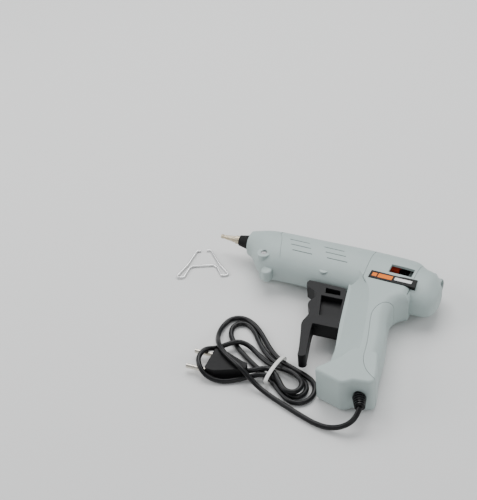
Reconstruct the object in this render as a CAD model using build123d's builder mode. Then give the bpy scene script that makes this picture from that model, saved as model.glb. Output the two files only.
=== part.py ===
"""Hot-melt glue gun with its mains lead and loose wire stand.

The gun lies on its right side. +X runs back along the barrel from the nozzle, +Y is the
top of the gun and +Z points up, out of its left side. The origin is on the bench, under
the middle of the gun and stand. Sizes in mm.
"""
import os
from math import cos, pi, radians, sin, tan

from build123d import *

os.makedirs("parts", exist_ok=True)

# Driving dimensions
STICK_R = 6.0                # glue stick, 12 mm stock
BARREL_HALF = 18.0           # half the barrel's width
GRIP_HALF = 16.5             # half the grip's width
WALL = 2.5                   # housing wall
COLLAR_R = 11.0              # nose and inlet collars
TRIGGER_HALF = 7.0           # half the trigger's width
LEVER_ARM = 19.0             # both arms of the transfer lever
LEVER_TILT = 21.0            # degrees either side of upright
CORD_R = 2.2
STAND_WIRE_R = 1.0
SEAM_SHARE = 0.01            # how much larger the housing's opening is than the grip cover

# The nose collar's centre, on the stick axis, in the row frame
NOSE_X, AXIS_Y, MID_Z = -65.6, 66.75, BARREL_HALF
AXIS = Axis((NOSE_X, AXIS_Y, MID_Z), (1, 0, 0))


def side(z=0):
    """A plane parallel to the housing's parting plane, z above it."""
    return Plane(origin=(NOSE_X, AXIS_Y, MID_Z + z))


def across(x, y=0):
    """A plane square to the barrel, x behind the nose: local x is +Y, local y is +Z."""
    return Plane(origin=(NOSE_X + x, AXIS_Y + y, MID_Z), x_dir=(0, 1, 0), z_dir=(1, 0, 0))


def at(x, y, z=0):
    """A point behind the nose, above the stick axis and above the parting plane."""
    return (NOSE_X + x, AXIS_Y + y, MID_Z + z)


# Barrel sections: place, top, bottom, half width and the level of the widest part
BARREL = [
    (0, 11.0, -11.0, 11.0, 0),
    (4, 12.2, -12.8, 12.1, -0.5),
    (10, 14.0, -18.5, 13.9, -2.5),
    (18, 15.6, -28.5, 16.2, -5),
    (27, 16.4, -33.2, 17.5, -6.5),
    (45, 17.0, -33.8, 18.0, -7),
    (80, 18.2, -34.0, 18.0, -7),
    (115, 19.2, -34.4, 18.0, -7),
    (140, 19.0, -35.0, 17.9, -8),
    (154, 18.4, -35.3, 17.7, -9),
    (160, 17.0, -35.6, 17.3, -10),
    (164, 13.8, -35.8, 17.0, -11),
    (168, 11.2, -36.0, 16.7, -12),
    (175, 9.0, -36.0, 16.0, -13),
    (180, 5.0, -35.4, 14.2, -14.5),
    (184, -2.5, -33.0, 10.8, -16.5),
    (186.6, -11.5, -27.5, 5.0, -19),
]
SECTION_POINTS = 24
FLATNESS = 0.9               # under 1 squares the section's shoulders
SEAM_TURN = 0.625            # each section starts low on the right flank


def egg(top, bottom, half, level):
    """The points of one barrel section, on a plane across the barrel."""
    points = []
    for step in range(SECTION_POINTS):
        turn = 2 * pi * (step / SECTION_POINTS + SEAM_TURN)
        up, out = cos(turn), sin(turn)
        reach = top - level if up > 0 else level - bottom
        points.append((level + reach * (1 if up > 0 else -1) * abs(up) ** FLATNESS,
                       half * (1 if out > 0 else -1) * abs(out) ** FLATNESS))
    return points


def barrel_faces(sections, inset=0.0):
    """The barrel's sections as faces, each set in by the same depth."""
    faces = []
    for x, top, bottom, half, level in sections:
        with BuildSketch(across(x)) as section:
            with BuildLine():
                Spline(*egg(top - inset, bottom + inset, half - inset, level), periodic=True)
            make_face()
        faces.append(section.sketch.face())
    return faces


# Grip outline, on the parting plane
FRONT_TOP = (106.5, -20)


def grip_outline(inset=0.0):
    """The grip from inside the barrel down to the base, with the web behind it."""
    i = inset
    with BuildSketch() as profile:
        with BuildLine():
            Polyline((166 - i, -34), (166 - i, -22), (FRONT_TOP[0] + i, FRONT_TOP[1]),
                     (110.5 + i, -36))
            Spline((110.5 + i, -36), (115.0 + i, -57), (120.6 + i, -82), (130.0 + i, -120),
                   tangents=((0.2, -1), (0.2, -1)))
            Line((130.0 + i, -120), (133.5 + i, -134))
            Line((133.5 + i, -134), (171.2 - i, -134))
            Spline((171.2 - i, -134), (167.2 - i, -106), (161.4 - i, -80), (155.8 - i, -57),
                   tangents=((-0.1, 1), (-0.1, 1)))
            ThreePointArc((155.8 - i, -57), (158.0 - i, -45.5), (166 - i, -38.5))
            Line((166 - i, -38.5), (166 - i, -34))
        make_face()
    return profile.sketch


def base_outline(inset=0.0):
    """The foot of the grip: a toe in front and a set-back heel round the cord."""
    i = inset
    with BuildSketch() as profile:
        with BuildLine():
            Polyline((144, -112), (139 + i, -122))
            Spline((139 + i, -122), (132.5 + i, -132.5), (126.0 + i, -141 + 0.3 * i),
                   tangents=((-0.3, -1), (-0.8, -0.9)))
            ThreePointArc((126.0 + i, -141 + 0.3 * i), (124.6 + i, -144.5 + i),
                          (127.0 + i, -147.4 + i))
            Line((127.0 + i, -147.4 + i), (147.0, -152.6 + i))
            Spline((147.0, -152.6 + i), (152.5, -151.3 + i), (156.5, -147.8 + i),
                   (162.0, -146.2 + i), tangents=((1, -0.2), (1, 0.1)))
            Line((162.0, -146.2 + i), (168.5 - i, -145.2 + i))
            ThreePointArc((168.5 - i, -145.2 + i), (172.4 - i, -143.2 + i), (173.4 - i, -138.8 + i))
            Spline((173.4 - i, -138.8 + i), (170.6 - i, -126), (166.4 - i, -112),
                   tangents=((-0.1, 1), (-0.3, 1)))
            Line((166.4 - i, -112), (144, -112))
        make_face()
    return profile.sketch


# Screw places, the level of each head's top (one from the left, the rest from the right)
# and the height of the bosses
SCREWS = [(24.6, -24.0, 13.4, 14.2), (84, -26.5, -12.6, 12.8), (172, -22, -12.6, 13.4),
          (141, -139, -15.2, 14.2)]
PIVOT = (122.0, -29.0)       # lever pin
PIVOT_BOSS = 11.4
SWING = LEVER_ARM * sin(radians(LEVER_TILT))
DROP = LEVER_ARM * cos(radians(LEVER_TILT))
LEVER_END_R = 2.4
FORK_GAP = 0.5


def bar(x, y, z, length, height, width):
    """A block centred at a place behind the nose, joined to the piece being made."""
    with Locations(at(x, y, z)):
        Box(length, height, width)


# Grip: flat sides with rounded edges, a scoop for the fingers and a crisp foot
BACK_R, FOOT_R = 9.0, 2.4
with BuildPart() as grip_form:
    with BuildSketch(side()):
        add(grip_outline())
    extrude(amount=GRIP_HALF, both=True)
    back_edges = grip_form.edges().filter_by(lambda e: abs(e.center().Z - MID_Z) > GRIP_HALF - 0.1)
    back_edges = back_edges.filter_by(
        lambda e: (e.geom_type != GeomType.LINE and e.center().X > NOSE_X + 145)
        or e.center().X > NOSE_X + 165.9)
    fillet(back_edges, BACK_R)
with BuildPart() as foot_form:
    with BuildSketch(side()):
        add(base_outline())
    extrude(amount=GRIP_HALF, both=True)
    foot_edges = foot_form.edges().filter_by(lambda e: abs(e.center().Z - MID_Z) > GRIP_HALF - 0.1)
    foot_edges = foot_edges.filter_by(lambda e: e.center().Y < AXIS_Y - 115)
    fillet(foot_edges, FOOT_R)


# Finger scoop: its edge on the grip's flank and, deeper, where it levels out
SCOOP_TOP, SCOOP_FOOT = (90, -14), (90, -137)
SCOOP_EDGE = [(106, -14), (120, -25), (129.5, -37), (136.5, -54), (142.4, -76), (147.6, -98),
              (149.6, -110), (147.2, -122), (139, -130.5), (124, -135)]
SCOOP_FLOOR = [(104, -14), (111, -30), (114.5, -42), (118, -56), (122.4, -76), (127, -96),
               (128.4, -106), (127.6, -113), (124.6, -118.5), (117, -121.5)]


def scoop_outline(edge):
    """One level of the finger scoop, closed well in front of the grip."""
    with BuildSketch() as profile:
        with BuildLine():
            Polyline(SCOOP_FOOT, SCOOP_TOP, edge[0])
            Spline(*edge)
            Line(edge[-1], SCOOP_FOOT)
        make_face()
    return profile.sketch


SCOOP_DEPTH = 8.5
with BuildPart() as scoop:
    with BuildSketch(side(GRIP_HALF + 0.1)):
        add(scoop_outline(SCOOP_EDGE))
    with BuildSketch(side(GRIP_HALF - SCOOP_DEPTH)):
        add(scoop_outline(SCOOP_FLOOR))
    loft()
    mirror(about=side())
with BuildPart() as boss_form:
    with BuildSketch(side(6)):
        with Locations((24.6, -24.0)):
            Circle(6.0)
    extrude(amount=8.2)
    mirror(about=side())
with BuildPart() as lug_form:                       # the stand hooks into this lug
    with BuildSketch(side()):
        with Locations((31.8, -33)):
            SlotCenterToCenter(7, 9.4, rotation=90)
    extrude(amount=5.6, both=True)
    fillet(lug_form.edges().filter_by(lambda e: abs(e.center().Z - MID_Z) > 5.5), 1.6)
with BuildPart() as inlet_form:
    with BuildSketch(across(158)):
        Circle(COLLAR_R)
    extrude(amount=18.6)
    fillet(inlet_form.faces().sort_by(Axis.X)[-1].edges(), 1.5)

# Housing: outer form, cavity and the skin that shallow lines are cut into
with BuildPart() as outer:
    add(grip_form.part)
    add(scoop.part, mode=Mode.SUBTRACT)
    loft(barrel_faces(BARREL))
    add(foot_form.part)
    for form in (boss_form, lug_form, inlet_form):
        add(form.part)
with BuildPart() as cavity:
    loft(barrel_faces([(max(x, 3.0), *rest) for x, *rest in BARREL[:-3]], WALL))
    with BuildSketch(side()):
        add(grip_outline(WALL + 1.5))
    extrude(amount=GRIP_HALF - SCOOP_DEPTH - 0.3, both=True)
    with BuildSketch(side()):
        add(base_outline(WALL + 1.0))
    extrude(amount=GRIP_HALF - WALL, both=True)
with BuildPart() as under_skin:
    loft(barrel_faces([(x, *rest) for x, *rest in BARREL], 0.5))


def strip(points, width):
    """A narrow strip along a line that runs across the barrel."""
    ahead = [(x - width / 2, y) for x, y in points]
    behind = [(x + width / 2, y) for x, y in reversed(points)]
    with BuildSketch() as profile:
        with BuildLine():
            Polyline(*ahead, *behind, close=True)
        make_face()
    return profile.sketch


# Window, vents, grooves, trigger slot and screw holes
WINDOW = (139.6, 160.6, -15.0, -4.6)                # from, to, bottom, top
VENT_PITCH, VENT_SIZE, VENT_LEAN = 6.4, (19.4, 0.9), 3.8
VENT_GROUPS = [(51.0, -2.4), (84.4, -2.4)]          # middle of each group's top slit
GROOVES = [[(29.0, 17.0), (29.4, 4.0), (34.0, -4.0), (41.0, -25.0)],
           [(119.0, 20.0), (119.4, 0.0), (120.6, -27.0), (126.0, -33.5)],
           [(163.2, 16.0), (163.2, -34.0)]]
GROOVE = 0.5
with BuildPart() as openings:
    with BuildSketch(side(2)):
        with Locations(((WINDOW[0] + WINDOW[1]) / 2, (WINDOW[2] + WINDOW[3]) / 2)):
            Rectangle(WINDOW[1] - WINDOW[0], WINDOW[3] - WINDOW[2])
    extrude(amount=BARREL_HALF)
    with BuildSketch(side(10)):
        for group_x, group_y in VENT_GROUPS:
            for row in range(3):
                with Locations((group_x + VENT_LEAN * row, group_y - VENT_PITCH * row)):
                    SlotOverall(VENT_SIZE[0], VENT_SIZE[1])
    extrude(amount=BARREL_HALF)
with BuildPart() as far_vents:
    with BuildSketch(side(-10)):
        for group_x, group_y in VENT_GROUPS:
            for row in range(3):
                with Locations((group_x + VENT_LEAN * row, group_y - VENT_PITCH * row)):
                    SlotOverall(VENT_SIZE[0], VENT_SIZE[1])
    extrude(amount=-BARREL_HALF)
with BuildPart() as grooves:
    with BuildSketch(side()):
        for points in GROOVES:
            add(strip(points, GROOVE))
    extrude(amount=BARREL_HALF + 2, both=True)
    add(under_skin.part, mode=Mode.SUBTRACT)
SLOT_HALF = TRIGGER_HALF + 0.8
with BuildPart() as trigger_slot:
    bar(121.5, -63.25, 0, 43, 52.5, 2 * SLOT_HALF)
NOZZLE_HOLE_R = 8.0
with BuildPart() as bores:
    with BuildSketch(across(-1)):
        Circle(NOZZLE_HOLE_R)
    extrude(amount=8)
    with BuildSketch(across(150)):
        Circle(7.7)
    extrude(amount=40)
GLAND = (162.4, -146.5)                              # where the lead leaves the foot
GLAND_TILT = 23.0                                    # degrees back from straight down
GLAND_R = 4.6
gland_plane = Plane(origin=at(*GLAND), x_dir=(cos(radians(GLAND_TILT)), sin(radians(GLAND_TILT)), 0),
                    z_dir=(sin(radians(GLAND_TILT)), -cos(radians(GLAND_TILT)), 0))
with BuildPart() as gland_hole:
    with BuildSketch(gland_plane.offset(-10)):
        Circle(GLAND_R)
    extrude(amount=20)

# Grip cover: the back of the grip, with its seam on both flanks
COVER_SEAM = [(172, -57.5), (165.5, -50.0), (157.5, -48.6), (149.2, -52.6), (145.2, -59.8),
              (144.4, -67.6), (146.4, -78.0), (150.7, -93.4), (154.5, -110.4), (156.3, -119.8),
              (160.2, -128.2), (180, -141.0)]
COVER_MIDDLE = (180.0, -95.0)


def cover_wedge(grow=0.0):
    """The block that the grip cover is cut from, grown about its middle."""
    points = [(x + (x - COVER_MIDDLE[0]) * grow, y + (y - COVER_MIDDLE[1]) * grow)
              for x, y in COVER_SEAM]
    with BuildPart() as wedge:
        with BuildSketch(side()):
            with BuildLine():
                Spline(*points)
                Line(points[-1], (205, -100))
                Line((205, -100), points[0])
            make_face()
        extrude(amount=BARREL_HALF + 4, both=True)
    return wedge.part


# Housing halves, held together by screws in hollow bosses
SCREW_R, HEAD_R, HEAD_L, BOSS_R = 1.5, 2.9, 2.0, 4.0
SCREW_L = 24.0
SPRING_STOP = (147.2, -72.0)


def screw_column(x, y, head_z, radius_gap=0.0):
    """A pan-head screw, its head's top at head_z, standing along Z."""
    down = -1 if head_z > 0 else 1
    with BuildPart() as screw:
        with BuildSketch(side(head_z)):
            with Locations((x, y)):
                Circle(HEAD_R + radius_gap)
        extrude(amount=HEAD_L * down)
        with BuildSketch(side(head_z)):
            with Locations((x, y)):
                Circle(SCREW_R + radius_gap)
        extrude(amount=SCREW_L * down)
    return screw.part


with BuildPart() as screw_holes:
    for x, y, head_z, boss in SCREWS:
        add(screw_column(x, y, head_z, 0.15))
        with BuildSketch(side(head_z)):
            with Locations((x, y)):
                Circle(HEAD_R + 0.15)
        extrude(amount=6 if head_z > 0 else -6)
LEVER_PIN_R = 2.0
with BuildPart() as pin_hole:
    with BuildSketch(side(-11)):
        with Locations(PIVOT):
            Circle(LEVER_PIN_R + 0.05)
    extrude(amount=22)
    bar(*PIVOT, 0, 24, 24, 5)


def housing_half(direction):
    """One half of the housing, above or below the parting plane."""
    with BuildPart() as half:
        add(outer.part)
        with Locations(at(80, -60, 30 * direction)):
            Box(300, 300, 60, mode=Mode.INTERSECT)
        add(cavity.part, mode=Mode.SUBTRACT)
        with BuildSketch(side()):
            with Locations(SPRING_STOP):
                Circle(BOSS_R)
        extrude(amount=direction * (GRIP_HALF - SCOOP_DEPTH - 0.2))
        for x, y, height in [(*PIVOT, PIVOT_BOSS)] + [(x, y, h) for x, y, head_z, h in SCREWS]:
            with BuildSketch(side()):
                with Locations((x, y)):
                    Circle(BOSS_R)
            extrude(amount=height * direction)
        for cut in (openings, far_vents, grooves, bores, gland_hole, trigger_slot,
                    screw_holes, pin_hole):
            add(cut.part, mode=Mode.SUBTRACT)
        add(cover_wedge(SEAM_SHARE), mode=Mode.SUBTRACT)
        return half.part


with BuildPart() as housing_left:
    add(housing_half(1))
housing_left.part.label = "housing_left"
export_step(housing_left.part, "parts/housing_left.step")

with BuildPart() as housing_right:
    add(housing_half(-1))
housing_right.part.label = "housing_right"
export_step(housing_right.part, "parts/housing_right.step")

with BuildPart() as housing_screws:
    for x, y, head_z, boss in SCREWS:
        add(screw_column(x, y, head_z))
housing_screws.part.label = "housing_screws"
export_step(housing_screws.part, "parts/housing_screws.step")

with BuildPart() as grip_cover:
    add(outer.part)
    add(cover_wedge(), mode=Mode.INTERSECT)
    add(cavity.part, mode=Mode.SUBTRACT)
grip_cover.part.label = "grip_cover"
export_step(grip_cover.part, "parts/grip_cover.step")

# Label plate, stuck on the left flank
LABEL = [(125.2, -16.8), (167.0, -17.0), (167.8, -26.9), (125.2, -26.4)]
LABEL_T = 0.6
with BuildPart() as label_plate:
    with BuildSketch(side(8)):
        with BuildLine():
            Polyline(*LABEL, close=True)
        make_face()
    extrude(amount=GRIP_HALF + LABEL_T - 8)
    add(outer.part, mode=Mode.SUBTRACT)
label_plate.part.label = "label_plate"
export_step(label_plate.part, "parts/label_plate.step")


def turned(points):
    """A turned profile, given as places along the stick axis and radii from it."""
    with BuildSketch() as profile:
        with BuildLine():
            Polyline(*points, close=True)
        make_face()
    return profile.sketch


# Hot end: brass nozzle in a silicone sleeve, screwed into the aluminium melt chamber
NOZZLE_BORE = 1.0
with BuildPart() as nozzle:
    with BuildSketch(side()):
        add(turned([(-31, NOZZLE_BORE), (-31, 1.9), (-29.2, 2.1), (-28.4, 1.7), (-15.5, 3.2),
                    (-15.5, 3.9), (-9.5, 3.9), (-9.5, 3.0), (12, 3.0), (12, NOZZLE_BORE)]))
    revolve(axis=AXIS)
nozzle.part.label = "nozzle"
export_step(nozzle.part, "parts/nozzle.step")

with BuildPart() as nozzle_sleeve:
    with BuildSketch(side()):
        add(turned([(-11.5, 4.0), (-11.5, 5.0), (0, 7.2), (6.5, 7.2), (6.5, 3.1),
                    (-9.2, 3.1), (-9.2, 4.0)]))
    revolve(axis=AXIS)
nozzle_sleeve.part.label = "nozzle_sleeve"
export_step(nozzle_sleeve.part, "parts/nozzle_sleeve.step")

CHAMBER_R = 8.5
with BuildPart() as melt_chamber:
    with BuildSketch(side()):
        add(turned([(6.7, 3.0), (6.7, 5.5), (14, CHAMBER_R), (84, CHAMBER_R), (84, STICK_R + 0.2),
                    (26, STICK_R + 0.2), (12.2, 1.6), (12.2, 3.0)]))
    revolve(axis=AXIS)
    for z in (-1, 1):
        bar(50, 0, z * 8.2, 44, 9, 3)
melt_chamber.part.label = "melt_chamber"
export_step(melt_chamber.part, "parts/melt_chamber.step")

with BuildPart() as heater_plates:
    for z in (-1, 1):
        bar(50, 0, z * 10.8, 34, 8, 2.2)
heater_plates.part.label = "heater_plates"
export_step(heater_plates.part, "parts/heater_plates.step")

with BuildPart() as chamber_brackets:               # they hold the chamber clear of the housing
    for x in (22, 76):
        with BuildSketch(across(x)):
            with BuildLine():
                Polyline((-16, -10), (-16, 10), (11.8, 10), (11.8, -10), close=True)
            make_face()
            fillet(vertices(), 6)
            Circle(CHAMBER_R, mode=Mode.SUBTRACT)
        extrude(amount=2)
chamber_brackets.part.label = "chamber_brackets"
export_step(chamber_brackets.part, "parts/chamber_brackets.step")

with BuildPart() as inlet_sleeve:
    with BuildSketch(side()):
        add(turned([(84, STICK_R + 0.15), (84, 8.2), (98, 7.6), (106, 7.0), (106, STICK_R + 0.15)]))
    revolve(axis=AXIS)
inlet_sleeve.part.label = "inlet_sleeve"
export_step(inlet_sleeve.part, "parts/inlet_sleeve.step")

with BuildPart() as inlet_collar:
    with BuildSketch(side()):
        add(turned([(154, STICK_R + 0.3), (154, 7.6), (182.4, 7.6), (183, 7.0),
                    (183, STICK_R + 0.6), (182, STICK_R + 0.3)]))
    revolve(axis=AXIS)
inlet_collar.part.label = "inlet_collar"
export_step(inlet_collar.part, "parts/inlet_collar.step")

# Feed: carriage and gripper on the stick, driven by the lever
CARRIAGE = (121.5, 151.0)
LEVER_TOP = (PIVOT[0] + SWING, PIVOT[1] + DROP)
LEVER_LOW = (PIVOT[0] - SWING, PIVOT[1] - DROP)
with BuildPart() as feed_carriage:
    bar((CARRIAGE[0] + CARRIAGE[1]) / 2, 0, 0, CARRIAGE[1] - CARRIAGE[0], 17, 17)
    fillet(feed_carriage.edges().filter_by(Axis.X), 3)
    for offset_x in (-4.6, 4.6):
        bar(LEVER_TOP[0] + offset_x, -10.4, 0, 2.8, 7.0, 9)
    with BuildSketch(across(100)):
        Circle(STICK_R + 0.4)
    extrude(amount=80, mode=Mode.SUBTRACT)
    with BuildSketch(side()):
        with Locations(LEVER_TOP):
            SlotCenterToCenter(3.0, 2 * (LEVER_END_R + FORK_GAP), rotation=90)
    extrude(amount=2.2, both=True, mode=Mode.SUBTRACT)
feed_carriage.part.label = "feed_carriage"
export_step(feed_carriage.part, "parts/feed_carriage.step")

with BuildPart() as stick_gripper:                  # bites the stick through the carriage
    bar(140, 0.8, 10.1, 11, 11.6, 3)
    fillet(stick_gripper.edges().filter_by(Axis.Z), 1.5)
stick_gripper.part.label = "stick_gripper"
export_step(stick_gripper.part, "parts/stick_gripper.step")

with BuildPart() as transfer_lever:
    with BuildSketch(side()):
        with Locations(LEVER_TOP, LEVER_LOW):
            Circle(LEVER_END_R)
        with Locations(PIVOT):
            Circle(4.2)
            Rectangle(3.4, 2 * LEVER_ARM - 1, rotation=-LEVER_TILT)
            Circle(LEVER_PIN_R + 0.05, mode=Mode.SUBTRACT)
    extrude(amount=1.5, both=True)
transfer_lever.part.label = "transfer_lever"
export_step(transfer_lever.part, "parts/transfer_lever.step")

with BuildPart() as lever_pin:
    with BuildSketch(side(-10.5)):
        with Locations(PIVOT):
            Circle(LEVER_PIN_R)
    extrude(amount=21)
lever_pin.part.label = "lever_pin"
export_step(lever_pin.part, "parts/lever_pin.step")

# Trigger: an open-ribbed moulding that slides into the grip
TRIGGER_TOP, BAY_DEPTH = -37.4, 5.6
with BuildPart() as trigger:
    with BuildSketch(side()):
        with BuildLine():
            Polyline((82.5, -48.5), (75.0, -44.8), (73.6, -41.0), (74.6, TRIGGER_TOP),
                     (108.0, TRIGGER_TOP), (110.4, -40.0), (112.2, -44.0), (120.8, -44.0),
                     (120.8, -54.0), (116.4, -55.0), (122.6, -86.6), (98.4, -88.0))
            Spline((98.4, -88.0), (101.6, -103.0), (106.4, -121.5),
                   tangents=((0.1, -1), (0.25, -1)))
            ThreePointArc((106.4, -121.5), (105.0, -127.6), (101.2, -127.0))
            Spline((101.2, -127.0), (96.0, -110.0), (91.6, -97.5), (89.3, -89.4), (90.6, -80.5),
                   (89.6, -74.0), (86.2, -69.2), (85.0, -63.6), (87.2, -57.0), (86.2, -52.0),
                   (82.5, -48.5))
        make_face()
    extrude(amount=TRIGGER_HALF, both=True)
    for z in (-1, 1):
        with BuildSketch(side(z * TRIGGER_HALF)):
            with BuildLine():
                Polyline((91.8, -52.4), (111.4, -51.4), (116.4, -74.6), (99.6, -76.8), close=True)
            make_face()
            with BuildLine():
                Polyline((92.0, -42.0), (105.6, -42.0), (107.6, -47.6), (94.0, -48.6), close=True)
            make_face()
        extrude(amount=-z * BAY_DEPTH, mode=Mode.SUBTRACT)
    with Locations(at(118.0, -41.0)):
        Box(19.6, 10.2, 4.6, mode=Mode.SUBTRACT)
    with BuildSketch(side()):
        with Locations(LEVER_LOW):
            SlotCenterToCenter(3.0, 2 * (LEVER_END_R + FORK_GAP), rotation=90)
    extrude(amount=2.3, both=True, mode=Mode.SUBTRACT)
trigger.part.label = "trigger"
export_step(trigger.part, "parts/trigger.step")

# Trigger spring, between the trigger's back wall and the inside of the grip
SPRING_R, SPRING_WIRE, SPRING_TURNS = 3.2, 0.45, 6
SPRING_FROM, SPRING_TO, SPRING_Y = 121.0, 142.8, SPRING_STOP[1]
SPRING_PITCH = (SPRING_TO - SPRING_FROM - 2 * SPRING_WIRE) / SPRING_TURNS
with BuildPart() as trigger_spring:
    with BuildLine() as coil:
        Helix(SPRING_PITCH, SPRING_PITCH * SPRING_TURNS, SPRING_R,
              center=at(SPRING_FROM + SPRING_WIRE, SPRING_Y), direction=(1, 0, 0))
    with BuildSketch(Plane(origin=coil.line @ 0, z_dir=coil.line % 0)):
        Circle(SPRING_WIRE)
    sweep(path=coil.line, is_frenet=True)
trigger_spring.part.label = "trigger_spring"
export_step(trigger_spring.part, "parts/trigger_spring.step")

# Electrics in the grip
with BuildPart() as terminal_block:
    bar(151.0, -106.0, 0, 9, 16, 14)
    fillet(terminal_block.edges().filter_by(Axis.Z), 1)
terminal_block.part.label = "terminal_block"
export_step(terminal_block.part, "parts/terminal_block.step")


def tube(points, radius, bends):
    """A round tube along straight runs joined by tangent arcs."""
    with BuildPart() as pipe:
        with BuildLine() as path:
            FilletPolyline(*points, radius=bends)
        with BuildSketch(Plane(origin=path.line @ 0, z_dir=path.line % 0)):
            Circle(radius)
        sweep(path=path.line)
    length = sum(edge.length for edge in path.edges())
    ratio = pipe.part.volume / (pi * radius ** 2 * length)
    print("tube length", round(length, 1), "volume ratio", round(ratio, 4))
    return pipe.part


def largest_bends(points, share=0.45):
    """The largest tangent arc at each corner that its two runs leave room for."""
    radii = []
    for before, here, after in zip(points, points[1:], points[2:]):
        run_in, run_out = Vector(*here) - Vector(*before), Vector(*after) - Vector(*here)
        half_turn = radians(run_in.get_angle(run_out)) / 2
        radii.append(share * min(run_in.length, run_out.length) / tan(half_turn))
    print("bend radii", [round(r, 1) for r in radii])
    return radii


WIRE_R = 0.9
with BuildPart() as inner_wires:
    for z in (-1, 1):
        wire_points = [at(*place) for place in (
            (151, -97.8, 4 * z), (153.2, -86, 4.4 * z), (152.7, -71, 4.6 * z),
            (149.6, -57, 4.8 * z), (147.0, -38, 4.8 * z), (138.5, -23, 6.2 * z),
            (126, -17, 9.6 * z), (112, -16, 11.2 * z), (86, -11, 11.6 * z),
            (68.4, -3.2, 10.8 * z))]
        add(tube(wire_points, WIRE_R, largest_bends(wire_points, 0.3)))
inner_wires.part.label = "inner_wires"
export_step(inner_wires.part, "parts/inner_wires.step")

# Strain relief: a ribbed boot on the lead, in line with the grip
BOOT_L, BOOT_RIBS = 13.0, 5
RIB_FROM, RIB_T = 2.1, 1.4
BOOT_R, BOOT_TIP_R = 5.6, 4.4
boot_tip = gland_plane.offset(BOOT_L)
with BuildPart() as strain_relief:
    with BuildSketch(gland_plane.offset(-9)):
        Circle(GLAND_R - 0.2)
    extrude(amount=9.0)
    for rib in range(BOOT_RIBS):
        rib_r = BOOT_R + (BOOT_TIP_R - BOOT_R) * rib / (BOOT_RIBS - 1)
        with BuildSketch(gland_plane.offset(RIB_FROM + rib * (BOOT_L - RIB_FROM) / BOOT_RIBS)):
            Circle(rib_r)
        extrude(amount=RIB_T)
    with BuildSketch(gland_plane):
        Circle(3.6)
    extrude(amount=BOOT_L)
strain_relief.part.label = "strain_relief"
export_step(strain_relief.part, "parts/strain_relief.step")

# Mains lead: a free length from the boot down to the bench and round to the hank
FLOOR = -BARREL_HALF + CORD_R + 0.05
boot_end = Vector(*GLAND, 0) + gland_plane.z_dir * BOOT_L
LEAD = [(boot_end.X, boot_end.Y, 0), (167.4, -166.3, -3.8), (160.6, -172.6, -9.6),
        (148.5, -175.0, -14.6), (135.0, -173.8, FLOOR), (122.0, -170.0, FLOOR)]
LEAD_POINTS = [at(*place) for place in LEAD]
with BuildPart() as cord_lead:
    add(tube(LEAD_POINTS, CORD_R, largest_bends(LEAD_POINTS)))
cord_lead.part.label = "cord_lead"
export_step(cord_lead.part, "parts/cord_lead.step")

# Hank: the outer shape of the tied loops, with the plug lying in its left end
HANK_H = 10.5
HANK = [(122, -172.2), (108, -168), (92, -162.6), (74, -158), (58, -160), (42, -161.5),
        (27, -161), (17, -152), (14.5, -139), (15.5, -122), (12.8, -104), (14.5, -88),
        (25, -79), (42, -82), (55, -92), (67, -104), (80, -114.6), (94, -119.8), (107, -123.6),
        (117.5, -127.5), (122.6, -135), (123.3, -146), (124.5, -156), (125.5, -165)]
with BuildPart() as cord_hank:
    with BuildSketch(side(-BARREL_HALF)):
        with BuildLine():
            Spline(*HANK, periodic=True)
        make_face()
    extrude(amount=HANK_H)
cord_hank.part.label = "cord_hank"
export_step(cord_hank.part, "parts/cord_hank.step")

TIE_AT, TIE_SIZE = (82.0, -131.0), (3.5, 32.0, 1.0)
with BuildPart() as cord_tie:
    bar(*TIE_AT, -BARREL_HALF + HANK_H + TIE_SIZE[2] / 2, *TIE_SIZE)
cord_tie.part.label = "cord_tie"
export_step(cord_tie.part, "parts/cord_tie.step")

PLUG_TURN = 3.0
PLUG = (44.0, -143.5)
PLUG_L, PLUG_W, PLUG_T = 33.0, 24.6, 11.0
PLUG_Z = -BARREL_HALF + PLUG_T / 2
PIN_R, PIN_L, PIN_PITCH = 2.0, 18.0, 18.6
plug_plane = Plane(origin=at(*PLUG, PLUG_Z), z_dir=(0, 0, 1), x_dir=(cos(radians(PLUG_TURN)),
                                                                      sin(radians(PLUG_TURN)), 0))
with BuildPart() as plug_body:
    with BuildSketch(plug_plane.offset(-PLUG_T / 2)):
        with BuildLine():
            Polyline((-PLUG_L / 2, -PLUG_W / 2), (-PLUG_L / 2 + 9, -PLUG_W / 2),
                     (PLUG_L / 2 - 5, -5.0), (PLUG_L / 2, -4.0), (PLUG_L / 2, 4.0),
                     (PLUG_L / 2 - 5, 5.0), (-PLUG_L / 2 + 9, PLUG_W / 2),
                     (-PLUG_L / 2, PLUG_W / 2), close=True)
        make_face()
    extrude(amount=PLUG_T)
    fillet(plug_body.edges().filter_by(Axis.Z), 1.8)
plug_body.part.label = "plug_body"
export_step(plug_body.part, "parts/plug_body.step")

with BuildPart() as plug_pins:
    for y in (-PIN_PITCH / 2, PIN_PITCH / 2):
        pin_plane = Plane(origin=plug_plane.from_local_coords((-PLUG_L / 2, y, 0)),
                          z_dir=-plug_plane.x_dir)
        with BuildSketch(pin_plane):
            Circle(PIN_R)
        extrude(amount=PIN_L)
plug_pins.part.label = "plug_pins"
export_step(plug_pins.part, "parts/plug_pins.step")

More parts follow.
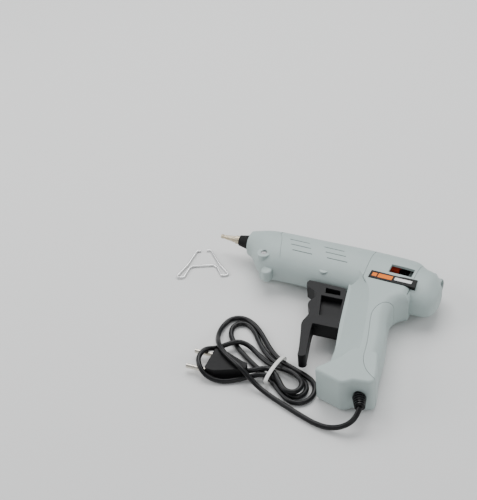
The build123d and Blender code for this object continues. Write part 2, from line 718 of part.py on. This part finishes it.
# Wire stand: one bent wire, lying on the bench in front of the nozzle
STAND_AT, STAND_TURN = (-48.0, -7.2), 24.6
STAND_SIDE = [(2.7, 0), (6.6, 0), (14.6, -20.0), (25.2, -37.6), (17.6, -37.9), (11.8, -22.2)]
STAND_BENDS = [2.0, 40.0, 2.2, 2.2, 6.0]
stand_plane = Plane(origin=at(*STAND_AT, -BARREL_HALF + STAND_WIRE_R),
                    x_dir=(cos(radians(STAND_TURN)), sin(radians(STAND_TURN)), 0), z_dir=(0, 0, 1))
stand_points = STAND_SIDE + [(-u, v) for u, v in reversed(STAND_SIDE)]
with BuildPart() as wire_stand:
    with BuildLine(stand_plane) as wire_path:
        FilletPolyline(*stand_points, radius=STAND_BENDS + STAND_BENDS[::-1])
    with BuildSketch(Plane(origin=wire_path.line @ 0, z_dir=wire_path.line % 0)):
        Circle(STAND_WIRE_R)
    sweep(path=wire_path.line)
wire_stand.part.label = "wire_stand"
export_step(wire_stand.part, "parts/wire_stand.step")
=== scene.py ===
"""Hot-melt glue gun on a bench, with its tied mains lead and a loose wire stand."""
import math

import bpy
from mathutils import Matrix, Vector


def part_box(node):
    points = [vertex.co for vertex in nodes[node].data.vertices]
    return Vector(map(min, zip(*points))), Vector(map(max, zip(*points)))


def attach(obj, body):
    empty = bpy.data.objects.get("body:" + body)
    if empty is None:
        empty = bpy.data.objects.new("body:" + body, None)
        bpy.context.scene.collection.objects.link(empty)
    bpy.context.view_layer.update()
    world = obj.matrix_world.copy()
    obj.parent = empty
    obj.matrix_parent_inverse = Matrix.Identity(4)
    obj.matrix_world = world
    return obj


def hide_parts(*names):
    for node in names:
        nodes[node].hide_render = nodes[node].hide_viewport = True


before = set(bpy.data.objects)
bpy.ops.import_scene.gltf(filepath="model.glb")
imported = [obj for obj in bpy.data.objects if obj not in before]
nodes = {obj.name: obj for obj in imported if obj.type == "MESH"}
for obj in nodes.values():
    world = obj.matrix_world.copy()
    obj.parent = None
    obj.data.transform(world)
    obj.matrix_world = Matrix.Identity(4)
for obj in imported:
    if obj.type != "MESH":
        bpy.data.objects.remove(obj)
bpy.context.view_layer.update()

# Mains lead. A black two-core PVC flex, 4.4 mm across, which leaves the foot through a
# ribbed boot, lies on the bench, is folded into a flat hank and ends in a two-pin plug.
# Places on the gun are in millimetres: behind the nose collar, above the stick axis, and
# above the parting plane.
MM = 0.001
NOZZLE_REACH = 31.0
nozzle_low, nozzle_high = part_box("nozzle")
NOSE = Vector((nozzle_low.x + NOZZLE_REACH * MM,
               (nozzle_low.y + nozzle_high.y) / 2, (nozzle_low.z + nozzle_high.z) / 2))


def at(x, y, z=0.0):
    """A place on the gun, as a point in the row frame."""
    return NOSE + Vector((x, y, z)) * MM


CORD_R = 2.2
BENCH = -15.75               # the flex's centre where it lies on the bench
OVER_ONE = -11.1             # and where it crosses one thickness of flex
OVER_PINS = -8.1
OVER_PLUG = -4.2
LEAD = [(167.5, -158.5, 0), (167.4, -166.3, -3.8), (160.6, -172.6, -9.6),
        (148.5, -175.0, -14.6), (135, -173.8, BENCH), (122, -170, BENCH)]
OVER_THE_PLUG = [(108, -165.5, BENCH), (92, -160, BENCH), (77, -155, -14), (66, -150.8, -8.5),
                 (57, -147, OVER_PLUG), (46, -141.5, OVER_PLUG), (36, -135.5, OVER_PLUG),
                 (27, -127, -6.0), (18.6, -112, -13.2), (15.6, -97, BENCH),
                 (19, -84.6, BENCH), (30, -80.6, BENCH), (42, -85.5, BENCH),
                 (53.5, -95, BENCH), (65, -107, BENCH), (79, -117.8, BENCH)]
OUTER_FOLD = [(93, -122.8, BENCH), (107, -126.8, BENCH), (116, -131.2, BENCH),
              (121.3, -139, BENCH), (121.8, -148.5, BENCH), (117.5, -156.5, BENCH),
              (108, -159.6, BENCH), (97, -153.6, BENCH), (84.5, -143.8, BENCH)]
LEFT_FOLD = [(70, -135.5, BENCH), (54, -126.5, BENCH), (38, -115.5, BENCH),
             (28, -106, BENCH), (24.2, -96, BENCH), (27.8, -88.2, BENCH), (36.5, -87.2, BENCH),
             (45.5, -93.6, BENCH), (55, -105, BENCH), (67.5, -116.3, BENCH),
             (80, -123.2, BENCH)]
MIDDLE_FOLD = [(92, -127.3, BENCH), (103.5, -130.6, BENCH), (111.5, -135.8, BENCH),
               (115.2, -143.5, BENCH), (112.4, -151.5, BENCH), (103.8, -153.4, BENCH),
               (94, -146.3, BENCH), (85, -140.2, -13.2)]
ROUND_THE_PINS = [(75, -142.2, OVER_ONE), (65, -147.0, -13.5), (54, -153.5, BENCH),
                  (43, -159, BENCH), (30, -159.5, -13), (20.8, -153, OVER_PINS),
                  (16.8, -144, OVER_PINS), (18.3, -134.5, OVER_PINS), (25, -127, -12.6),
                  (33, -119.5, OVER_ONE), (40, -113.6, OVER_ONE), (49, -112.8, -13.5),
                  (60, -118.4, BENCH), (71, -124.6, BENCH), (81.5, -128.4, -14)]
TOP_FOLD = [(91, -130.6, OVER_ONE), (100.5, -132.6, OVER_ONE), (108.3, -137, OVER_ONE),
            (111.6, -145, OVER_ONE), (108.0, -152.8, OVER_ONE), (99, -152.8, OVER_ONE),
            (90.5, -144, OVER_ONE), (82, -135.6, -10.9), (73.5, -135.4, -10.9),
            (66.5, -140.6, -11.4), (60.5, -142.6, -12.5)]
ROUTE = LEAD + OVER_THE_PLUG + OUTER_FOLD + LEFT_FOLD + MIDDLE_FOLD + ROUND_THE_PINS + TOP_FOLD
flex_curve = bpy.data.curves.new("mains_flex", "CURVE")
flex_curve.dimensions = "3D"
flex_curve.bevel_depth = CORD_R           # times each point's radius
flex_curve.bevel_resolution = 6
flex_curve.resolution_u = 10
flex_curve.use_fill_caps = True
flex_line = flex_curve.splines.new("NURBS")
flex_line.points.add(len(ROUTE) - 1)
for point, place in zip(flex_line.points, ROUTE):
    point.co = (*at(*place), 1.0)
    point.radius = MM
flex_line.order_u = 3
flex_line.use_endpoint_u = True
mains_flex = bpy.data.objects.new("mains_flex", flex_curve)
bpy.context.scene.collection.objects.link(mains_flex)
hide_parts("cord_lead", "cord_hank")
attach(mains_flex, "housing")

# Camera, above and in front of the gun, looking down across the barrel.
EYE = (401.05, -746.79, 677.0)
LOOK = Vector((-0.3785, 0.6801, -0.6278))
ROLL = -5.89
LENS, SENSOR = 83.82, 36.0
camera = bpy.data.objects.new("camera", bpy.data.cameras.new("camera"))
bpy.context.scene.collection.objects.link(camera)
camera.data.lens, camera.data.sensor_width = LENS, SENSOR
camera.data.clip_start, camera.data.clip_end = 0.01, 20.0
turn = LOOK.to_track_quat("-Z", "Y").to_matrix() @ Matrix.Rotation(math.radians(ROLL), 3, "Z")
camera.matrix_world = Matrix.Translation(at(*EYE)) @ turn.to_4x4()
bpy.context.scene.camera = camera

# Bench and studio light. A pale matt board under soft boxes: a broad one above and behind,
# one from the left and a weak fill from the front.
bpy.ops.object.select_all(action="DESELECT")
BENCH_SIDE, BENCH_TOP = 6.0, -0.0002       # metres; just under the gun's lowest face
bpy.ops.mesh.primitive_plane_add(size=BENCH_SIDE, location=(0, 0, BENCH_TOP))
bench = bpy.context.object
bench.name = "bench"
bench_finish = bpy.data.materials.new("bench_board")
bench_finish.use_nodes = True
board = bench_finish.node_tree.nodes["Principled BSDF"]
board.inputs["Base Color"].default_value = (0.80, 0.80, 0.79, 1)
board.inputs["Roughness"].default_value = 0.75
bench.data.materials.append(bench_finish)
world = bpy.data.worlds.new("studio")
world.use_nodes = True
world.node_tree.nodes["Background"].inputs["Color"].default_value = (0.93, 0.96, 1.0, 1)
world.node_tree.nodes["Background"].inputs["Strength"].default_value = 0.42
bpy.context.scene.world = world
# Name, place, width in metres and power in watts
SOFT_BOXES = [("overhead_box", (-0.25, 0.65, 1.15), 1.1, 17.0),
              ("left_box", (-1.15, -0.35, 0.75), 0.8, 8.0),
              ("front_fill", (0.75, -1.25, 0.85), 0.9, 4.5),
              ("right_strip", (1.05, 0.45, 0.55), 0.4, 3.0)]
for name, place, width, power in SOFT_BOXES:
    lamp = bpy.data.lights.new(name, "AREA")
    lamp.size, lamp.energy = width, power
    box = bpy.data.objects.new(name, lamp)
    bpy.context.scene.collection.objects.link(box)
    box.location = place
    box.rotation_euler = (-Vector(place)).to_track_quat("-Z", "Y").to_euler()


# Housing. Two light-grey moulded nylon halves, spark-eroded to a fine matt grain, screwed
# together on the parting plane, with a separate back cover on the grip.
def new_group(name, inputs, outputs):
    """An empty shader group with the given sockets, and its input and output nodes."""
    group = bpy.data.node_groups.new(name, "ShaderNodeTree")
    for label, kind, value in inputs:
        socket = group.interface.new_socket(label, in_out="INPUT", socket_type="NodeSocket" + kind)
        if value is not None:
            socket.default_value = value
    for label, kind in outputs:
        group.interface.new_socket(label, in_out="OUTPUT", socket_type="NodeSocket" + kind)
    return group, group.nodes.new("NodeGroupInput"), group.nodes.new("NodeGroupOutput")


def add_node(tree, kind, **settings):
    """A shader node with its properties set, and its sockets where the name is one."""
    node = tree.nodes.new("ShaderNode" + kind)
    for key, value in settings.items():
        if key[0].isupper():
            node.inputs[key.replace("_", " ")].default_value = value
        else:
            setattr(node, key, value)
    return node


RUBBED_FROM, RUBBED_TO = 0.47, 0.75       # the part of the blotch noise that shows wear
GRAIN_HEIGHT = 0.0004
SPECK_SHARE, GLOSS_SPREAD = 0.5, 0.18
surface, s_in, s_out = new_group(
    "worked_surface",
    [("Colour", "Color", None), ("Worn colour", "Color", None), ("Roughness", "Float", 0.5),
     ("Grain size", "Float", 2500.0), ("Grain depth", "Float", 0.05),
     ("Blotch size", "Float", 40.0), ("Wear", "Float", 0.35), ("Stretch", "Vector", (1, 1, 1))],
    [("Colour", "Color"), ("Roughness", "Float"), ("Normal", "Vector")])
place = add_node(surface, "TexCoord")
stretched = add_node(surface, "VectorMath", operation="MULTIPLY")
blotch = add_node(surface, "TexNoise", Detail=6.0, Roughness=0.65)
rubbed = add_node(surface, "MapRange", From_Min=RUBBED_FROM, From_Max=RUBBED_TO)
worn = add_node(surface, "Math", operation="MULTIPLY")
tint = add_node(surface, "Mix", data_type="RGBA")
grain = add_node(surface, "TexNoise", Detail=3.0)
speck = add_node(surface, "TexVoronoi", feature="F1")
relief = add_node(surface, "Math", operation="MULTIPLY_ADD")
bump = add_node(surface, "Bump", Distance=GRAIN_HEIGHT)
gloss = add_node(surface, "Math", operation="MULTIPLY_ADD")
gloss.inputs[1].default_value = GLOSS_SPREAD
relief.inputs[1].default_value = SPECK_SHARE
link = surface.links.new
link(place.outputs["Object"], stretched.inputs[0])
link(s_in.outputs["Stretch"], stretched.inputs[1])
for texture in (grain, speck):
    link(stretched.outputs[0], texture.inputs["Vector"])
    link(s_in.outputs["Grain size"], texture.inputs["Scale"])
link(place.outputs["Object"], blotch.inputs["Vector"])
link(s_in.outputs["Blotch size"], blotch.inputs["Scale"])
link(blotch.outputs["Fac"], rubbed.inputs["Value"])
link(rubbed.outputs["Result"], worn.inputs[0])
link(s_in.outputs["Wear"], worn.inputs[1])
link(worn.outputs[0], tint.inputs["Factor"])
link(s_in.outputs["Colour"], tint.inputs["A"])
link(s_in.outputs["Worn colour"], tint.inputs["B"])
link(speck.outputs["Distance"], relief.inputs[0])
link(grain.outputs["Fac"], relief.inputs[2])
link(relief.outputs[0], bump.inputs["Height"])
link(s_in.outputs["Grain depth"], bump.inputs["Strength"])
link(blotch.outputs["Fac"], gloss.inputs[0])
link(s_in.outputs["Roughness"], gloss.inputs[2])
link(tint.outputs["Result"], s_out.inputs["Colour"])
link(gloss.outputs[0], s_out.inputs["Roughness"])
link(bump.outputs["Normal"], s_out.inputs["Normal"])


def finish(name, colour, worn_colour, roughness, metal=0.0, specular=0.5, **grain_values):
    """A material: the worked surface feeding a Principled shader."""
    made = bpy.data.materials.new(name)
    made.use_nodes = True
    tree = made.node_tree
    shader = tree.nodes["Principled BSDF"]
    shader.inputs["Metallic"].default_value = metal
    shader.inputs["Specular IOR Level"].default_value = specular
    worked = tree.nodes.new("ShaderNodeGroup")
    worked.node_tree = surface
    worked.inputs["Colour"].default_value = (*colour, 1)
    worked.inputs["Worn colour"].default_value = (*worn_colour, 1)
    worked.inputs["Roughness"].default_value = roughness
    for key, value in grain_values.items():
        worked.inputs[key.capitalize().replace("_", " ")].default_value = value
    tree.links.new(worked.outputs["Colour"], shader.inputs["Base Color"])
    tree.links.new(worked.outputs["Roughness"], shader.inputs["Roughness"])
    tree.links.new(worked.outputs["Normal"], shader.inputs["Normal"])
    return made


def dress(material, *names):
    """Gives CAD nodes a material."""
    for name in names:
        mesh = nodes[name].data
        mesh.materials.clear()
        mesh.materials.append(material)


grey_nylon = finish("grey_nylon", (0.40, 0.475, 0.46), (0.46, 0.53, 0.515), 0.42,
                    grain_size=2600.0, grain_depth=0.10, blotch_size=22.0, wear=0.5)
cover_nylon = finish("cover_nylon", (0.41, 0.485, 0.47), (0.47, 0.54, 0.525), 0.40,
                     grain_size=2600.0, grain_depth=0.10, blotch_size=26.0, wear=0.5)
dress(grey_nylon, "housing_left", "housing_right", "inlet_collar")
dress(cover_nylon, "grip_cover")

# Screws. Zinc-plated pan heads, sunk in the housing's bosses.
zinc = finish("screw_zinc", (0.30, 0.30, 0.31), (0.45, 0.44, 0.42), 0.38, metal=1.0,
              grain_size=3500.0, grain_depth=0.25, blotch_size=300.0, wear=0.6)
dress(zinc, "housing_screws")

# Label. A printed black film on the left flank, with an orange mark and bars in place of words.
label_low, label_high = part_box("label_plate")
# Each bar: from and to along the label in mm, low and high as shares of its height, orange
BARS = [(2.2, 6.4, 0.30, 0.74, True), (7.6, 20.5, 0.26, 0.76, True),
        (22.5, 38.0, 0.36, 0.72, False)]
print_group, p_in, p_out = new_group(
    "printed_bar",
    [("From", "Float", 0.0), ("To", "Float", 1.0), ("Low", "Float", 0.0), ("High", "Float", 1.0)],
    [("Mask", "Float")])
p_place = add_node(print_group, "TexCoord")
p_split = add_node(print_group, "SeparateXYZ")
print_group.links.new(p_place.outputs["Object"], p_split.inputs[0])
tests = []
for axis, low, high in (("X", "From", "To"), ("Y", "Low", "High")):
    for socket, operation in ((low, "GREATER_THAN"), (high, "LESS_THAN")):
        test = add_node(print_group, "Math", operation=operation)
        print_group.links.new(p_split.outputs[axis], test.inputs[0])
        print_group.links.new(p_in.outputs[socket], test.inputs[1])
        tests.append(test)
mask = tests[0]
for test in tests[1:]:
    both = add_node(print_group, "Math", operation="MULTIPLY")
    print_group.links.new(mask.outputs[0], both.inputs[0])
    print_group.links.new(test.outputs[0], both.inputs[1])
    mask = both
print_group.links.new(mask.outputs[0], p_out.inputs["Mask"])
label_film = finish("label_film", (0.004, 0.004, 0.004), (0.008, 0.008, 0.008), 0.38,
                    specular=0.18, grain_size=1500.0, grain_depth=0.02, blotch_size=90.0,
                    wear=0.4)
film_tree = label_film.node_tree
film_shader = film_tree.nodes["Principled BSDF"]
shown = film_shader.inputs["Base Color"].links[0].from_socket
ORANGE, WHITE = (0.90, 0.20, 0.004, 1), (0.80, 0.80, 0.78, 1)
for start, end, low, high, is_orange in BARS:
    bar = film_tree.nodes.new("ShaderNodeGroup")
    bar.node_tree = print_group
    height = label_high.y - label_low.y
    bar.inputs["From"].default_value = label_low.x + start * MM
    bar.inputs["To"].default_value = label_low.x + end * MM
    bar.inputs["Low"].default_value = label_low.y + low * height
    bar.inputs["High"].default_value = label_low.y + high * height
    ink = add_node(film_tree, "Mix", data_type="RGBA")
    film_tree.links.new(bar.outputs["Mask"], ink.inputs["Factor"])
    film_tree.links.new(shown, ink.inputs["A"])
    ink.inputs["B"].default_value = ORANGE if is_orange else WHITE
    shown = ink.outputs["Result"]
film_tree.links.new(shown, film_shader.inputs["Base Color"])
dress(label_film, "label_plate")

# Hot end. A turned brass nozzle in a black silicone sleeve, screwed into a die-cast melt
# chamber, with film-wrapped heater plates, held in heat-proof brackets.
nozzle_metal = finish("nozzle_metal", (0.62, 0.55, 0.42), (0.42, 0.30, 0.16), 0.22, metal=1.0,
                      grain_size=900.0, grain_depth=0.25, blotch_size=160.0, wear=0.7,
                      stretch=(9.0, 1.0, 1.0))
silicone = finish("silicone", (0.005, 0.005, 0.005), (0.012, 0.012, 0.012), 0.5, specular=0.2,
                  grain_size=1800.0, grain_depth=0.15, blotch_size=120.0, wear=0.6)
cast_metal = finish("cast_metal", (0.55, 0.55, 0.57), (0.40, 0.38, 0.36), 0.45, metal=1.0,
                    grain_size=1200.0, grain_depth=0.5, blotch_size=80.0, wear=0.6)
heater_film = finish("heater_film", (0.45, 0.28, 0.07), (0.55, 0.36, 0.12), 0.35,
                     grain_size=700.0, grain_depth=0.2, blotch_size=90.0, wear=0.5)
bracket_resin = finish("bracket_resin", (0.10, 0.06, 0.04), (0.15, 0.10, 0.07), 0.6,
                       grain_size=1600.0, grain_depth=0.3, blotch_size=60.0, wear=0.4)
dress(nozzle_metal, "nozzle")
dress(silicone, "nozzle_sleeve", "inlet_sleeve")
dress(cast_metal, "melt_chamber")
dress(heater_film, "heater_plates")
dress(bracket_resin, "chamber_brackets")

# Feed. A black moulded carriage with a red gripper, pushed along the stick by a pressed
# steel lever on a steel pin.
dark_resin = finish("dark_resin", (0.010, 0.010, 0.011), (0.02, 0.02, 0.02), 0.45,
                    specular=0.25, grain_size=2000.0, grain_depth=0.12, blotch_size=60.0,
                    wear=0.5)
red_resin = finish("red_resin", (0.75, 0.045, 0.02), (0.80, 0.12, 0.06), 0.38,
                   grain_size=2000.0, grain_depth=0.10, blotch_size=120.0, wear=0.5)
pressed_steel = finish("pressed_steel", (0.48, 0.48, 0.49), (0.35, 0.33, 0.31), 0.3, metal=1.0,
                       grain_size=1100.0, grain_depth=0.2, blotch_size=130.0, wear=0.6)
dress(dark_resin, "feed_carriage")
dress(red_resin, "stick_gripper")
dress(pressed_steel, "transfer_lever", "lever_pin", "trigger_spring")

# Trigger. A black glass-filled nylon moulding with open ribs, satin from handling.
trigger_nylon = finish("trigger_nylon", (0.006, 0.006, 0.0065), (0.014, 0.014, 0.015), 0.40,
                       specular=0.2, grain_size=2200.0, grain_depth=0.12, blotch_size=45.0,
                       wear=0.7)
dress(trigger_nylon, "trigger")

# Electrics in the grip: a pale terminal block and glass-sleeved wires to the heater.
block_resin = finish("block_resin", (0.60, 0.58, 0.50), (0.68, 0.66, 0.58), 0.5,
                     grain_size=1500.0, grain_depth=0.15, blotch_size=60.0, wear=0.4)
sleeving = finish("sleeving", (0.62, 0.58, 0.48), (0.45, 0.41, 0.33), 0.8,
                  grain_size=2400.0, grain_depth=0.8, blotch_size=200.0, wear=0.6)
dress(block_resin, "terminal_block")
dress(sleeving, "inner_wires")

# Finish of the flex, its boot and the plug: black PVC with a slight gloss.
flex_pvc = finish("flex_pvc", (0.004, 0.004, 0.0045), (0.009, 0.009, 0.010), 0.24,
                  specular=0.3, grain_size=1300.0, grain_depth=0.05, blotch_size=70.0,
                  wear=0.8)
plug_pvc = finish("plug_pvc", (0.005, 0.005, 0.0055), (0.012, 0.012, 0.012), 0.42,
                  specular=0.2, grain_size=1700.0, grain_depth=0.2, blotch_size=80.0,
                  wear=0.6)
plated_brass = finish("plated_brass", (0.72, 0.68, 0.60), (0.50, 0.44, 0.34), 0.16, metal=1.0,
                      grain_size=1500.0, grain_depth=0.08, blotch_size=170.0, wear=0.5)
flex_curve.materials.append(flex_pvc)
dress(flex_pvc, "strain_relief", "cord_lead", "cord_hank")
dress(plug_pvc, "plug_body")
dress(plated_brass, "plug_pins")

# Tie. A white paper-covered wire band, pulled round the hank's middle.
TIE_CENTRE = (82.5, -133.0, -12.4)
TIE_HALF = (16.4, 5.2)                    # half its length over the hank, and half its height
TIE_WIDTH, TIE_THICK, TIE_ROUND = 3.4, 0.7, 0.25
TIE_TURN = -6.0                           # degrees from square to the barrel
TIE_SIDES, TIE_ROUND_STEPS, CREASE = 64, 2, 40.0
bpy.ops.object.select_all(action="DESELECT")
bpy.ops.mesh.primitive_cylinder_add(vertices=TIE_SIDES, radius=MM, depth=TIE_WIDTH * MM,
                                    end_fill_type="NOTHING")
hank_tie = bpy.context.object
hank_tie.name = "hank_tie"
hank_tie.data.transform(Matrix.Diagonal((TIE_HALF[1], TIE_HALF[0], 1, 1)))
hank_tie.data.transform(Matrix.Rotation(math.pi / 2, 4, "Y"))
hank_tie.data.transform(Matrix.Rotation(math.radians(TIE_TURN), 4, "Z"))
hank_tie.data.transform(Matrix.Translation(at(*TIE_CENTRE)))
paper_wall = hank_tie.modifiers.new("paper_wall", "SOLIDIFY")
paper_wall.thickness, paper_wall.offset = TIE_THICK * MM, 0.0
rounded = hank_tie.modifiers.new("rounded", "BEVEL")
rounded.width, rounded.segments = TIE_ROUND * MM, TIE_ROUND_STEPS
for modifier in ("paper_wall", "rounded"):
    bpy.ops.object.modifier_apply(modifier=modifier)
bpy.ops.object.shade_smooth_by_angle(angle=math.radians(CREASE))
tie_paper = finish("tie_paper", (0.80, 0.80, 0.77), (0.62, 0.62, 0.59), 0.55,
                   grain_size=1400.0, grain_depth=0.3, blotch_size=300.0, wear=0.5)
hank_tie.data.materials.append(tie_paper)
hank_tie.data.update()
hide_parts("cord_tie")
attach(hank_tie, "housing")

# Stand. One length of bright plated 2 mm wire, bent to hook into the lug under the nose.
bright_wire = finish("bright_wire", (0.80, 0.80, 0.80), (0.55, 0.55, 0.54), 0.14, metal=1.0,
                     grain_size=1600.0, grain_depth=0.06, blotch_size=140.0, wear=0.5)
dress(bright_wire, "wire_stand")

bpy.context.view_layer.update()
